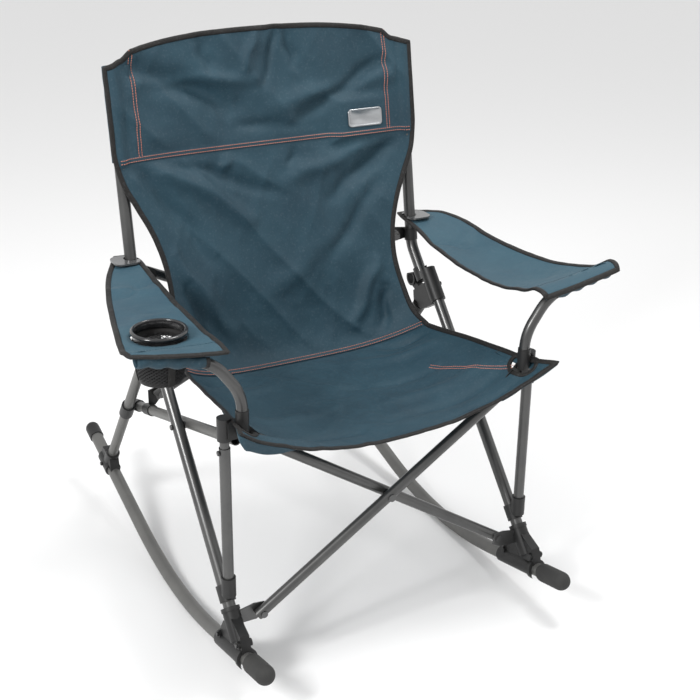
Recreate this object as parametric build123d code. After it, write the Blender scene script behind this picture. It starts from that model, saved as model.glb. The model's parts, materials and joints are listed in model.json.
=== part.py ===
"""Folding camp rocking chair: two steel side frames on curved rockers, joined by a front and a
rear scissor pair, with telescoping corner posts, sliding back poles and a fabric sling.
X is to the sitter's left-right, -Y is the way the chair faces, +Z is up, millimetres."""
from build123d import *
from math import atan, cos, degrees, hypot, radians, sin
import os

# ---- driving dimensions -------------------------------------------------------------------
SIDE_X = 296.0            # side frame plane, from the middle of the chair
RAIL_X = 273.5            # seat rail plane, inboard of the leg tube
ROCKER_R = 12.7           # rocker tube, 25.4 mm
LEG_R = 11.0              # leg tube and back pole, 22 mm
POST_R = 9.5              # post sleeve, seat rail, scissor and arm tubes, 19 mm
ROD_R = 7.9               # rod that telescopes inside the post sleeve
WALL = 1.2                # tube wall
GAP = 0.35                # clear space between parts that move past each other
PIN_R = 4.0               # scissor rivets
PIN_HOLE_R = 4.08

ROCKER_FRONT = (-434.0, 81.5)       # (y, z) of the rocker's front end
ROCKER_KNEE = (-36.0, -12.0)        # where its two straight ends would meet
ROCKER_REAR = (447.0, 122.5)
ROCKER_BEND_R = 760.0
HUB_BOSSES = ((-366.0, 92.0), (-283.0, 62.0))      # (y, z) of the hub's screw bosses
HUB_BOSS_REACH = 13.0
RIVET_HEAD = 3.4

LEG_FOOT = (-345.0, 86.0)           # leg tube: lower end, in the front hub
LEG_SLOPE = 1.15                    # its rise over run
LEG_TOP_Z = 528.0
POLE_SET_BACK = 34.4                # back pole's lower part, behind the leg tube along Y
POLE_LOW_Z = 509.0
POLE_LEAN = 0.167                   # upper back pole's run over rise
POLE_KNEE = (105.7, 564.6)
POLE_TOP_Z = 958.0
REAR_LEG_FOOT = (331.0, 104.0)
REAR_LEG_TOP = (64.0, 449.0)
RAIL_REAR = (204.0, 283.0)
RAIL_FRONT = (-306.0, 440.0)

POST_Y = -306.0
POST_LOW_Z = 160.0
POST_TOP_Z = 432.0
FRONT_X_Y = -318.0                  # plane between the two front scissor tubes
FRONT_X_HALF = 246.0
FRONT_X_LOW_Z = 117.0
FRONT_X_TOP_Z = 441.0
REAR_X_Y = 120.0                    # plane between the two rear scissor tubes
REAR_X_HALF = 256.0
REAR_X_LOW_Z = 345.0
REAR_X_TOP_Z = 585.0
X_OFFSET = POST_R + 1.5             # scissor tube's centre, from its plane
X_OVERRUN = 9.0                    # tube past its end rivet
TAB_HALF = 1.5 - GAP                # half thickness of the steel tabs

ARM_Z = 612.0                       # underside of the arm pads
ARM_THICK = 8.0
ARM_TIP_LIFT = 26.0       # the arm tube holds the pad's outer front corner this much higher
CUP_RIM_Z = 617.0
CUP_LEVEL = -3.5                    # left pad under the cup ring, from the arm pads' level
CUP_CENTRE = (-368.0, -225.0)
CUP_R = 40.0
CUP_DEPTH = 72.0
LABEL_AT = (205.0, 142.6, 826.0)
CLOTH = 4.0                         # thickness of the plain fabric solids

os.makedirs("parts", exist_ok=True)


def save(name, shape):
    export_step(shape, f"parts/{name}.step")


# ---- geometry helpers ---------------------------------------------------------------------
def leg_y(z):
    return LEG_FOOT[0] + (z - LEG_FOOT[1]) / LEG_SLOPE


def pole_y(z):
    """Back pole centre: parallel to the leg tube below its knee, nearly upright above it."""
    if z < POLE_KNEE[1]:
        return POLE_KNEE[0] - (POLE_KNEE[1] - z) / LEG_SLOPE
    return POLE_KNEE[0] + (z - POLE_KNEE[1]) * POLE_LEAN


def rail_z(y):
    slope = (RAIL_FRONT[1] - RAIL_REAR[1]) / (RAIL_FRONT[0] - RAIL_REAR[0])
    return RAIL_REAR[1] + (y - RAIL_REAR[0]) * slope


def rod(start, end, radius):
    """Solid round bar from start to end."""
    start = Vector(*start)
    end = Vector(*end)
    plane = Plane(origin=start, z_dir=end - start)
    return extrude(plane * Circle(radius), (end - start).length)


def tube(start, end, radius, wall=WALL):
    return rod(start, end, radius) - rod(start, end, radius - wall)


def bent_tube(points, radius, bend, wall=WALL):
    """Tube along a line of points with its corners rounded to the bend radius."""
    path = FilletPolyline(*points, radius=bend)
    plane = Plane(origin=path @ 0, z_dir=path % 0)
    outer = sweep(plane * Circle(radius), path=path)
    if not wall:
        return outer
    return outer - sweep(plane * Circle(radius - wall), path=path)


def along(start, end, distance):
    """Point at a distance from start towards end."""
    start = Vector(*start)
    return start + (Vector(*end) - start).normalized() * distance


def side_block(x, outline, width):
    """Plate in the YZ plane with the given outline, centred on x."""
    points = [(x - width / 2, y, z) for y, z in outline]
    return extrude(make_face(Polyline(*points, close=True)), width, dir=(1, 0, 0))


def front_block(y, outline, depth):
    """Plate in the XZ plane with the given outline, centred on y."""
    points = [(x, y - depth / 2, z) for x, z in outline]
    return extrude(make_face(Polyline(*points, close=True)), depth, dir=(0, 1, 0))


def ball(centre, radius):
    return Pos(*centre) * Sphere(radius)


# ---- lines of the side frame --------------------------------------------------------------
def rocker_points(x):
    return [(x, *ROCKER_FRONT), (x, *ROCKER_KNEE), (x, *ROCKER_REAR)]


def leg_line(x):
    return (x, *LEG_FOOT), (x, leg_y(LEG_TOP_Z), LEG_TOP_Z)


def pole_points(x):
    return [(x, pole_y(POLE_LOW_Z), POLE_LOW_Z), (x, *POLE_KNEE), (x, pole_y(POLE_TOP_Z), POLE_TOP_Z)]


def along_rocker_rear(distance):
    """(y, z) of a point on the rocker's straight rear end, measured from its tip."""
    point = along((0, *ROCKER_REAR), (0, *ROCKER_KNEE), distance)
    return point.Y, point.Z


def rear_leg_line(x):
    return (x, *REAR_LEG_FOOT), (x, *REAR_LEG_TOP)


# ---- side frame ---------------------------------------------------------------------------
def foot_cap(x):
    """Egg-shaped rubber foot with a screw boss, over the rocker's front end."""
    start, knee = rocker_points(x)[:2]
    inner = along(start, knee, 34)
    nose = along(start, knee, -14)
    body = rod(nose, inner, ROCKER_R + 4.5) + ball(nose, ROCKER_R + 4.5)
    body += ball(inner, ROCKER_R + 4.5)
    bore = rod(start, along(start, knee, 60), ROCKER_R)
    return body - bore


def rear_cap(x):
    """Round plug cap over the rocker's rear end."""
    end, knee = (x, *ROCKER_REAR), (x, *ROCKER_KNEE)
    inner = along(end, knee, 26)
    nose = along(end, knee, -3)
    body = rod(nose, inner, ROCKER_R + 2.2) + ball(nose, ROCKER_R + 2.2)
    return body - rod(end, along(end, knee, 60), ROCKER_R)


def front_hub(x):
    """Casting over the rocker: saddle, front collar, ribbed gusset and the leg tube's sleeve."""
    start, knee = rocker_points(x)[:2]
    foot, top = leg_line(x)
    saddle_front = along(start, knee, 58)
    saddle_rear = along(start, knee, 168)
    body = rod(saddle_front, saddle_rear, ROCKER_R + 3.8)
    body += rod(saddle_front, along(start, knee, 66), ROCKER_R + 6.5)
    gusset = [(-378, 78), (-368, 108), (-332, 122), (-296, 96), (-272, 52), (-300, 40), (-372, 62)]
    body += side_block(x, gusset, 17)
    for y, z in HUB_BOSSES:
        body += rod((x - HUB_BOSS_REACH, y, z), (x + HUB_BOSS_REACH, y, z), 6.5)
    body += rod(along(foot, top, -2), along(foot, top, 56), LEG_R + 4.2)
    body += rod(along(foot, top, 49), along(foot, top, 56), LEG_R + 5.6)
    body -= bent_tube(rocker_points(x), ROCKER_R, ROCKER_BEND_R, wall=None)
    body -= rod(foot, top, LEG_R)
    slot = rod(along(start, knee, 40), along(start, knee, 190), ROCKER_R)
    body -= Pos(0, 0, -10) * slot
    return body


def hub_tab(side):
    """Bent steel tab on the hub's inner face that carries the scissor tube's lower rivet."""
    x = side * SIDE_X
    edge = x - side * 12
    outline = [(edge, 98), (edge, 124), (side * (FRONT_X_HALF + 10), 130), (side * (FRONT_X_HALF - 10), 128)]
    outline += [(side * (FRONT_X_HALF - 12), 108), (side * (FRONT_X_HALF + 6), 98)]
    plate = front_block(FRONT_X_Y, outline, 2 * TAB_HALF)
    plate -= front_hub(x)
    plate -= rod(*leg_line(x), LEG_R)
    pin = rod((side * FRONT_X_HALF, FRONT_X_Y - 20, FRONT_X_LOW_Z),
              (side * FRONT_X_HALF, FRONT_X_Y + 20, FRONT_X_LOW_Z), PIN_HOLE_R)
    return plate - pin


def rear_bracket(x):
    """Clamp on the rocker that holds the rear leg's foot."""
    foot, top = rear_leg_line(x)
    knee, end = (x, *ROCKER_KNEE), (x, *ROCKER_REAR)
    body = rod(along(end, knee, 86), along(end, knee, 134), ROCKER_R + 4)
    body += rod(foot, along(foot, top, 34), LEG_R + 3.4)
    body += side_block(x, [(300, 84), (306, 122), (350, 128), (366, 98)], 20)
    body -= bent_tube(rocker_points(x), ROCKER_R, ROCKER_BEND_R, wall=None)
    return body - rod(along(foot, top, 6), top, LEG_R - 1)


def rear_leg(x):
    foot, top = rear_leg_line(x)
    return tube(along(foot, top, 12), top, LEG_R - 1)


def tee_bracket(x):
    """Bracket on the leg tube: cradle for the back pole, socket for the rear leg and an open clip."""
    foot, top = leg_line(x)
    low = (x, leg_y(478), 478)
    high = (x, leg_y(530), 530)
    body = rod(low, high, LEG_R + 4)
    body += rod((x, *REAR_LEG_TOP), along((x, *REAR_LEG_TOP), (x, *REAR_LEG_FOOT), 30), LEG_R + 3)
    body += side_block(x, [(0, 470), (20, 508), (44, 500), (78, 474), (74, 448), (44, 444)], 18)
    pole_low, knee = pole_points(x)[:2]
    body += rod(along(pole_low, knee, -8), along(pole_low, knee, 20), LEG_R + 3.4)
    clip_at = (90, 496)
    clip = rod((x - 9, *clip_at), (x + 9, *clip_at), 15.5)
    clip += side_block(x, [(62, 470), (60, 488), (84, 494), (92, 484)], 14)
    clip -= rod((x - 12, *clip_at), (x + 12, *clip_at), 11.2)
    clip -= side_block(x, [(84, 498), (80, 530), (112, 530), (104, 502)], 40)
    body += clip
    body -= rod(foot, top, LEG_R)
    body -= rod((x, *REAR_LEG_TOP), (x, *REAR_LEG_FOOT), LEG_R - 1)
    way_out = rod(pole_low, along(pole_low, knee, 60), LEG_R + GAP)
    for step in range(0, 60, 6):
        body -= Pos(0, 0, step) * way_out
    return body


def rail_clamp(x):
    """Clamp that joins the seat rail's rear end to the rear leg."""
    foot, top = rear_leg_line(x)
    side = 1 if x > 0 else -1
    middle_z = RAIL_REAR[1]
    share = (middle_z - REAR_LEG_FOOT[1]) / (REAR_LEG_TOP[1] - REAR_LEG_FOOT[1])
    length = hypot(REAR_LEG_TOP[0] - REAR_LEG_FOOT[0], REAR_LEG_TOP[1] - REAR_LEG_FOOT[1])
    body = rod(along(foot, top, share * length - 17), along(foot, top, share * length + 17), LEG_R + 2.6)
    rail_low, rail_high = (side * RAIL_X, *RAIL_REAR), (side * RAIL_X, *RAIL_FRONT)
    body += rod(along(rail_low, rail_high, -6), along(rail_low, rail_high, 24), POST_R + 2.4)
    body -= rod(foot, top, LEG_R - 1)
    return body - rod(rail_low, rail_high, POST_R)


def post_clamp(x):
    """Clamp just above the hub that joins the post's lower end to the leg tube."""
    low = (x, leg_y(136), 136)
    high = (x, leg_y(158), 158)
    body = rod(low, high, LEG_R + 3.2)
    body += rod((x, POST_Y, 152), (x, POST_Y, 188), POST_R + 3)
    body -= rod(*leg_line(x), LEG_R)
    return body - rod((x, POST_Y, POST_LOW_Z), (x, POST_Y, 300), POST_R)


def rear_x_saddle(side):
    """Steel saddle on the seat rail that carries the rear scissor tube's lower rivet."""
    y = REAR_X_Y
    rail = ((side * RAIL_X, y - 16, rail_z(y - 16)), (side * RAIL_X, y + 16, rail_z(y + 16)))
    body = rod(*rail, POST_R + 2)
    outer = side * (RAIL_X + 2)
    inner = side * (REAR_X_HALF - 9)
    body += front_block(y, [(outer, 314), (outer, 350), (side * REAR_X_HALF, 355), (inner, 350), (inner, 336),
                            (side * (REAR_X_HALF + 6), 318)], 2 * TAB_HALF)
    body -= rod((side * RAIL_X, *RAIL_REAR), (side * RAIL_X, *RAIL_FRONT), POST_R)
    return body - rod((side * REAR_X_HALF, y - 20, REAR_X_LOW_Z), (side * REAR_X_HALF, y + 20, REAR_X_LOW_Z),
                      PIN_HOLE_R)


def frame_rivets(side):
    """Domed rivets and screws of one side frame, each a separate solid."""
    x = side * SIDE_X
    cross_y, cross_z = rail_crossing()
    heads = [(LEG_R, cross_y, cross_z, 5.0), (POST_R, POST_Y, 424, 4.5)]
    heads += [(HUB_BOSS_REACH, *spot, 4.2) for spot in HUB_BOSSES]
    heads += [(LEG_R + 4.0, leg_y(504), 504, 4.2), (ROCKER_R + 4.0, *along_rocker_rear(110), 4.2)]
    solids = []
    for reach, y, z, radius in heads:
        head_x = x + side * (reach + RIVET_HEAD / 2 + 0.05)
        dome = Pos(head_x, y, z) * Rot(0, 90, 0) * Cylinder(radius, RIVET_HEAD)
        solids.append(fillet(dome.edges().filter_by(GeomType.CIRCLE), 1.0))
    spacer = rod((x - side * (LEG_R + 0.05), cross_y, cross_z),
                 (side * (RAIL_X + POST_R + 0.05), cross_y, cross_z), 7.0)
    solids.append(spacer)
    return solids


def rail_crossing():
    """Where the seat rail passes the leg tube, seen from the side."""
    slope = (RAIL_FRONT[1] - RAIL_REAR[1]) / (RAIL_FRONT[0] - RAIL_REAR[0])
    y = (RAIL_REAR[1] - slope * RAIL_REAR[0] - LEG_FOOT[1] + LEG_SLOPE * LEG_FOOT[0]) / (LEG_SLOPE - slope)
    return y, rail_z(y)


def seat_rail(side):
    x = side * RAIL_X
    start, end = (x, *RAIL_REAR), (x, RAIL_FRONT[0] + 6, rail_z(RAIL_FRONT[0] + 6))
    return tube(start, end, POST_R)


def side_frame(word, side):
    x = side * SIDE_X
    rail = seat_rail(side)
    save(f"{word}_rocker", bent_tube(rocker_points(x), ROCKER_R, ROCKER_BEND_R))
    save(f"{word}_foot_cap", foot_cap(x))
    save(f"{word}_rear_cap", rear_cap(x))
    save(f"{word}_front_hub", front_hub(x))
    save(f"{word}_hub_tab", hub_tab(side))
    save(f"{word}_leg_tube", tube(*leg_line(x), LEG_R))
    save(f"{word}_rear_leg", rear_leg(x))
    save(f"{word}_rear_bracket", rear_bracket(x))
    save(f"{word}_tee_bracket", tee_bracket(x))
    save(f"{word}_rail_clamp", rail_clamp(x))
    save(f"{word}_seat_rail", rail)
    save(f"{word}_post_sleeve", tube((x, POST_Y, POST_LOW_Z), (x, POST_Y, POST_TOP_Z), POST_R))
    save(f"{word}_post_clamp", post_clamp(x))
    save(f"{word}_rear_x_saddle", rear_x_saddle(side))
    save(f"{word}_frame_fasteners", Compound(children=frame_rivets(side)))


# ---- scissor pairs ------------------------------------------------------------------------
def scissor_tube(side, y, half, low_z, top_z):
    """Tube from the lower pivot on one side to the upper pivot on the other."""
    low, top = (side * half, y, low_z), (-side * half, y, top_z)
    body = tube(along(low, top, -X_OVERRUN), along(top, low, -X_OVERRUN), POST_R)
    for end, other in ((low, top), (top, low)):
        plug = rod(along(end, other, -X_OVERRUN - 1.5), along(end, other, -X_OVERRUN + 6), POST_R - WALL)
        body += plug
    return body


def scissor_rivet(x, y, z, reach_front, reach_rear, head=7.0):
    pin = rod((x, y - reach_front, z), (x, y + reach_rear, z), PIN_R)
    pin += rod((x, y - reach_front - 2.5, z), (x, y - reach_front, z), head)
    return pin + rod((x, y + reach_rear, z), (x, y + reach_rear + 2.5, z), head)


def scissor_pair(word, plane_y, half, low_z, top_z):
    mid_z = (low_z + top_z) / 2
    front_y, rear_y = plane_y - X_OFFSET, plane_y + X_OFFSET
    front_tube = scissor_tube(-1, front_y, half, low_z, top_z)
    rear_tube = scissor_tube(1, rear_y, half, low_z, top_z)
    reach = X_OFFSET + POST_R + 0.1
    crossing = scissor_rivet(0, plane_y, mid_z, reach, reach + GAP)
    crossing += rod((0, front_y + POST_R + 0.05, mid_z), (0, rear_y - POST_R - GAP, mid_z), 8.0)
    left_pin = scissor_rivet(-half, plane_y, low_z, reach, TAB_HALF + GAP, 6.0)
    if word == "front":
        right_pin = scissor_rivet(half, plane_y, low_z, TAB_HALF + GAP, reach, 6.0)
    else:
        start = rear_y + POST_R + 0.05
        right_pin = rod((half, start, low_z), (half, start + 2.5, low_z), 6.0)
    hole = rod((0, rear_y - 20, mid_z), (0, rear_y + 20, mid_z), PIN_HOLE_R)
    end_heads = []
    for x, y, turn in ((half, front_y, -1), (-half, rear_y, 1)):
        start = y + turn * (POST_R + 0.05)
        end_heads.append(rod((x, start, top_z), (x, start + turn * 2.5, top_z), 6.0))
    save(f"{word}_cross_tube_1", front_tube - crossing - left_pin)
    save(f"{word}_cross_tube_2", rear_tube - hole - right_pin)
    save(f"{word}_cross_rivets_1", Compound(children=[crossing, left_pin, end_heads[0]]))
    save(f"{word}_cross_rivets_2", Compound(children=[right_pin, end_heads[1]]))


# ---- corners: bracket, telescoping rod and arm tube ---------------------------------------
def arm_tube_points(side):
    spots = [(272, -324, 468), (271, -324, 528), (318, -323, 594), (430, -322, 620)]
    return [(side * x, y, z) for x, y, z in spots]


def arm_tube(side):
    return bent_tube(arm_tube_points(side), POST_R, 85)


def corner_bracket(side):
    """Bracket on top of the post: rod socket, arm tube socket and a hanging lobe for the scissor."""
    x = side * SIDE_X
    body = rod((x, POST_Y, POST_TOP_Z + 14), (x, POST_Y, 486), POST_R + 2.5)
    arm_low, arm_next = arm_tube_points(side)[:2]
    body += rod(along(arm_low, arm_next, -5), along(arm_low, arm_next, 34), POST_R + 1.6)
    outline = [(x, 452), (x, 482), (side * 270, 482), (side * 270, 452)]
    body += front_block(-316, outline, 14)
    lobe = [(side * 274, 455), (side * 264, 432), (side * 240, 430), (side * 236, 446), (side * 262, 474)]
    body += front_block(FRONT_X_Y, lobe, 2 * TAB_HALF)
    body -= rod((x, POST_Y, 300), (x, POST_Y, 480), ROD_R)
    return body - rod(arm_low, along(arm_low, arm_next, 60), POST_R)


def post_rod(side):
    x = side * SIDE_X
    return tube((x, POST_Y, POST_LOW_Z + 8), (x, POST_Y, 480), ROD_R, 1.0)


def corner(word, side):
    save(f"{word}_corner_bracket", corner_bracket(side))
    save(f"{word}_post_rod", post_rod(side))
    save(f"{word}_arm_tube", arm_tube(side))


# ---- back poles ---------------------------------------------------------------------------
def pole_tab(side):
    """Clamp on the back pole that carries the rear scissor tube's upper rivet."""
    x = side * SIDE_X
    low, high = (x, pole_y(573), 573), (x, pole_y(597), 597)
    body = rod(low, high, LEG_R + 2)
    outline = [(side * 290, 574), (side * 290, 596), (side * 262, 600), (side * 247, 592), (side * 247, 578)]
    body += front_block(REAR_X_Y, outline + [(side * 262, 570)], 2 * TAB_HALF)
    return body - bent_tube(pole_points(x), LEG_R, 60, wall=None)


def back_pole(word, side):
    x = side * SIDE_X
    save(f"{word}_back_pole", bent_tube(pole_points(x), LEG_R, 60))
    save(f"{word}_pole_tab", pole_tab(side))


# ---- fabric -------------------------------------------------------------------------------
def strip(half, edge, middle, across):
    """Thin closed section across the chair: an arc through edge and middle, thickened along an axis.

    across is "Y" for an upright stretch, whose section is level, and "Z" for a level stretch."""
    edge_at, middle_at = Vector(0, *edge), Vector(0, *middle)
    shift = Vector(0, CLOTH, 0) if across == "Y" else Vector(0, 0, -CLOTH)
    out = Vector(half, 0, 0)
    front = ThreePointArc(edge_at - out, middle_at, edge_at + out)
    back = ThreePointArc(edge_at + out + shift, middle_at + shift, edge_at - out + shift)
    sides = [Line(edge_at + out, edge_at + out + shift), Line(edge_at - out + shift, edge_at - out)]
    return make_face([front, sides[0], back, sides[1]])


def sheet(stations):
    """Ruled thin solid through strips: half width, edge (y, z), middle (y, z), thickness vector."""
    sections = [strip(*station) for station in stations]
    return loft(sections, ruled=True)


def top_arch(half, corner_z, crown_z):
    """Prism whose outline cuts the back's arched top edge."""
    foot = 300
    arch = ThreePointArc((-half, 0, corner_z), (0, 0, crown_z), (half, 0, corner_z))
    ends = [Line((half, 0, corner_z), (half, 0, foot)), Line((half, 0, foot), (-half, 0, foot))]
    outline = make_face([arch, *ends, Line((-half, 0, foot), (-half, 0, corner_z))])
    return extrude(outline, 400, dir=(0, 1, 0)) + extrude(outline, 50, dir=(0, -1, 0))


def back_panel():
    """Back of the sling with a pocket sleeve over each pole above the waist."""
    rows = [(244, (50, 410), (44, 410), "Y"), (240, (70, 470), (80, 470), "Y")]
    rows += [(236, (82, 560), (96, 560), "Y"), (236, (92, 640), (114, 640), "Y")]
    rows += [(262, (118, 730), (138, 730), "Y"), (283, (pole_y(800) - 2, 800), (158, 800), "Y")]
    rows += [(283, (pole_y(1010) - 2, 1010), (186, 1010), "Y")]
    body = sheet(rows) & top_arch(300, 955, 1007)
    for side in (-1, 1):
        low, high = (side * SIDE_X, pole_y(800), 800), (side * SIDE_X, pole_y(962), 962)
        body += rod(low, high, LEG_R + 3)
    for side in (-1, 1):
        hollow = rod((side * SIDE_X, pole_y(760), 760), (side * SIDE_X, pole_y(990), 990), LEG_R + GAP)
        body -= hollow
    return body


def headrest_panel():
    """Stitched extra layer over the top third of the back, in front of it."""
    lift = CLOTH + 0.4
    rows = [(268, (pole_y(803) - 2 - lift, 803), (158 - lift, 803), "Y")]
    rows += [(268, (pole_y(1010) - 2 - lift, 1010), (186 - lift, 1010), "Y")]
    return sheet(rows) & top_arch(300, 945, 997)


def label_plate():
    """Blank metal-look badge on the headrest."""
    lean = degrees(atan(POLE_LEAN))
    normal = (0.07, cos(radians(lean)), -sin(radians(lean)))
    face = Plane(origin=LABEL_AT, x_dir=(1, -0.07, 0), z_dir=normal)
    return extrude(face * RectangleRounded(74, 35, 7), 2)


def seat_panel():
    """Seat of the sling: hangs between the front corners and the back panel's foot."""
    rows = [(262, (-352, 486), (-352, 404), "Z"), (256, (-300, 474), (-300, 398), "Z")]
    rows += [(254, (-150, 462), (-150, 388), "Z"), (252, (-40, 452), (-40, 386), "Z")]
    rows += [(246, (28, 446), (28, 384), "Z")]
    body = sheet(rows)
    for side in (-1, 1):
        body -= bent_tube(arm_tube_points(side), POST_R + 2.5, 38, wall=None)
        body -= Pos(side * 270, -322, 470) * Box(36, 30, 44)
    return body


def arm_row(side, y, inner, outer, inner_lift, outer_lift):
    """Thin section of an arm pad at one y, each edge raised or lowered from the level."""
    low = [(side * inner, y, ARM_Z + inner_lift), (side * outer, y, ARM_Z + outer_lift)]
    high = [(x, y, z + ARM_THICK) for x, y, z in reversed(low)]
    return make_face(Polyline(*low, *high, close=True))


def arm_pad(side):
    """Fabric arm rest that widens to the front, with a hole for the back pole."""
    rows = [(146, 284, 334, 0, 0), (84, 281, 380, 0, 0)]
    if side < 0:
        rows += [(-50, 284, 404, CUP_LEVEL, CUP_LEVEL), (-170, 286, 428, CUP_LEVEL, CUP_LEVEL)]
        rows += [(-280, 289, 448, CUP_LEVEL, CUP_LEVEL)]
    else:
        rows += [(-10, 284, 400, -26, -12), (-110, 286, 419, -38, -20)]
        rows += [(-210, 288, 440, -34, -16), (-280, 290, 450, -20, 2)]
    rows += [(-320, 290, 456, -4, ARM_TIP_LIFT), (-338, 300, 450, -3, ARM_TIP_LIFT)]
    body = loft([arm_row(side, *row) for row in rows], ruled=True)
    low, high = ARM_Z - 30, ARM_Z + 30
    body -= rod((side * SIDE_X, pole_y(low), low), (side * SIDE_X, pole_y(high), high), LEG_R + 4)
    body -= Pos(side * 276, pole_y(ARM_Z), ARM_Z) * Box(40, 22, 60)
    if side < 0:
        body -= Pos(*CUP_CENTRE, ARM_Z) * Cylinder(CUP_R + 3.4, 60)
    return body


def grommet(side):
    """Moulded plate on top of the arm pad round the back pole, open towards the chair."""
    z = ARM_Z + ARM_THICK
    plate = Pos(side * 308, pole_y(z) - 4, z + 1.6) * Box(50, 50, 3)
    plate = fillet(plate.edges().filter_by(Axis.Z), 16)
    low, high = z - 30, z + 30
    plate -= rod((side * SIDE_X, pole_y(low), low), (side * SIDE_X, pole_y(high), high), LEG_R + 2.5)
    return plate - Pos(side * 282, pole_y(z), z) * Box(16, 22, 30)


def cup_ring():
    z = CUP_RIM_Z
    ring = Pos(*CUP_CENTRE, z + 0.5) * Cylinder(CUP_R + 8, 5, align=(Align.CENTER, Align.CENTER, Align.MIN))
    ring += Pos(*CUP_CENTRE, z - 10) * Cylinder(CUP_R + 3, 12, align=(Align.CENTER, Align.CENTER, Align.MIN))
    ring -= Pos(*CUP_CENTRE, z - 20) * Cylinder(CUP_R, 60, align=(Align.CENTER, Align.CENTER, Align.MIN))
    return fillet(ring.edges().filter_by(GeomType.CIRCLE).group_by(Axis.Z)[-1], 1.8)


def cup_pocket():
    """Mesh cup under the ring, closed at the bottom."""
    top = CUP_RIM_Z - 10.4
    outer = Cone(CUP_R - 6, CUP_R + 3, CUP_DEPTH, align=(Align.CENTER, Align.CENTER, Align.MAX))
    inner = Cone(CUP_R - 8.4, CUP_R + 0.8, CUP_DEPTH, align=(Align.CENTER, Align.CENTER, Align.MAX))
    return Pos(*CUP_CENTRE, top) * (outer - Pos(0, 0, 2.4) * inner)


# ---- write every part ---------------------------------------------------------------------
for word, side in (("left", -1), ("right", 1)):
    side_frame(word, side)
    corner(word, side)
    back_pole(word, side)
    save(f"{word}_arm_pad", arm_pad(side))
    save(f"{word}_pole_grommet", grommet(side))
scissor_pair("front", FRONT_X_Y, FRONT_X_HALF, FRONT_X_LOW_Z, FRONT_X_TOP_Z)
scissor_pair("rear", REAR_X_Y, REAR_X_HALF, REAR_X_LOW_Z, REAR_X_TOP_Z)
save("back_panel", back_panel())
save("headrest_panel", headrest_panel())
save("label_plate", label_plate())
save("seat_panel", seat_panel())
save("cup_ring", cup_ring())
save("cup_pocket", cup_pocket())
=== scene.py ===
"""Looks of the camp rocking chair: fabric sling, arm rests, trims and materials around the CAD frame."""

import json
import math

import bmesh
import bpy
import numpy as np
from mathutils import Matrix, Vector, noise


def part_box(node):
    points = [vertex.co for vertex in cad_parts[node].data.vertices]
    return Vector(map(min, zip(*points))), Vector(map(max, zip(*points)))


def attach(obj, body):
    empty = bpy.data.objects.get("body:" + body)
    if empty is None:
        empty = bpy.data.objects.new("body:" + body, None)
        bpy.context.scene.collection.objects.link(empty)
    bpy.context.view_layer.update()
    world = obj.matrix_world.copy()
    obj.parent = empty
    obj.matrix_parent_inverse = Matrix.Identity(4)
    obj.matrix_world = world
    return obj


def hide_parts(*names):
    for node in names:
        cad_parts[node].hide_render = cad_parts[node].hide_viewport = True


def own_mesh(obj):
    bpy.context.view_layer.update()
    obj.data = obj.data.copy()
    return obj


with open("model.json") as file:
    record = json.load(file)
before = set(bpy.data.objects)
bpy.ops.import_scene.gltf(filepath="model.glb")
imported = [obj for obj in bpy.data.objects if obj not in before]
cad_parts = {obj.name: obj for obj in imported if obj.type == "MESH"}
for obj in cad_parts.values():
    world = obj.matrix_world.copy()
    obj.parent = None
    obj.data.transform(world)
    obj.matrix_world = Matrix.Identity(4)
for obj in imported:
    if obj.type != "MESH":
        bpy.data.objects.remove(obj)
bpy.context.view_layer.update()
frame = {"nodes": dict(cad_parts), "record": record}

# ---- places taken from the frame -----------------------------------------------------------
POLE_LOW, POLE_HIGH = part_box("right_back_pole")
POLE_R = 0.011
SIDE_X = (POLE_LOW.x + POLE_HIGH.x) / 2
POLE_KNEE_Y, POLE_KNEE_Z, POLE_LEAN = 0.1057, 0.5646, 0.167
SEAM_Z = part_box("headrest_panel")[0].z - 0.006  # horizontal seam under the headrest
RING_LOW, RING_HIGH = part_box("cup_ring")
CUP = Vector(((RING_LOW.x + RING_HIGH.x) / 2, (RING_LOW.y + RING_HIGH.y) / 2, RING_HIGH.z))
CUP_R = 0.040
POCKET_LOW, POCKET_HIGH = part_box("cup_pocket")
LABEL_LOW, LABEL_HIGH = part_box("label_plate")
CLOTH_T = 0.0016
POCKET_REACH = POLE_R + 0.0030                 # cloth round a back pole, from its axis
BADGE_H = 0.035
HOLE_RX, HOLE_RY = 0.020, 0.030                 # opening in the seat for each arm tube


def pole_y(z):
    return POLE_KNEE_Y + (z - POLE_KNEE_Z) * POLE_LEAN


# ---- numeric surfaces ----------------------------------------------------------------------
def catmull(points, count):
    """Smooth curve through points (n x k array), count samples, chord-length parameter."""
    points = np.asarray(points, float)
    n = len(points)
    gaps = np.linalg.norm(np.diff(points, axis=0).reshape(n - 1, -1), axis=1)
    knots = np.concatenate([[0], np.cumsum(np.maximum(gaps, 1e-9))])
    slopes = np.gradient(points, knots, axis=0)
    at = np.linspace(0, knots[-1], count)
    i = np.clip(np.searchsorted(knots, at, side="right") - 1, 0, n - 2)
    h = knots[i + 1] - knots[i]
    t = (at - knots[i]) / h
    shape = (-1,) + (1,) * (points.ndim - 1)
    t, h = t.reshape(shape), h.reshape(shape)
    a, b, ma, mb = points[i], points[i + 1], slopes[i] * h, slopes[i + 1] * h
    return ((2 * t**3 - 3 * t**2 + 1) * a + (t**3 - 2 * t**2 + t) * ma
            + (-2 * t**3 + 3 * t**2) * b + (t**3 - t**2) * mb)


def grid_normals(grid):
    """Unit normals of a rows x columns x 3 grid."""
    along = np.gradient(grid, axis=0)
    across = np.gradient(grid, axis=1)
    normal = np.cross(across, along)
    if normal[..., 2].sum() < -0.3 * np.linalg.norm(normal, axis=2).sum():
        normal = -normal                        # a sheet that lies down looks up
    return normal / np.maximum(np.linalg.norm(normal, axis=2, keepdims=True), 1e-12)


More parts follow.
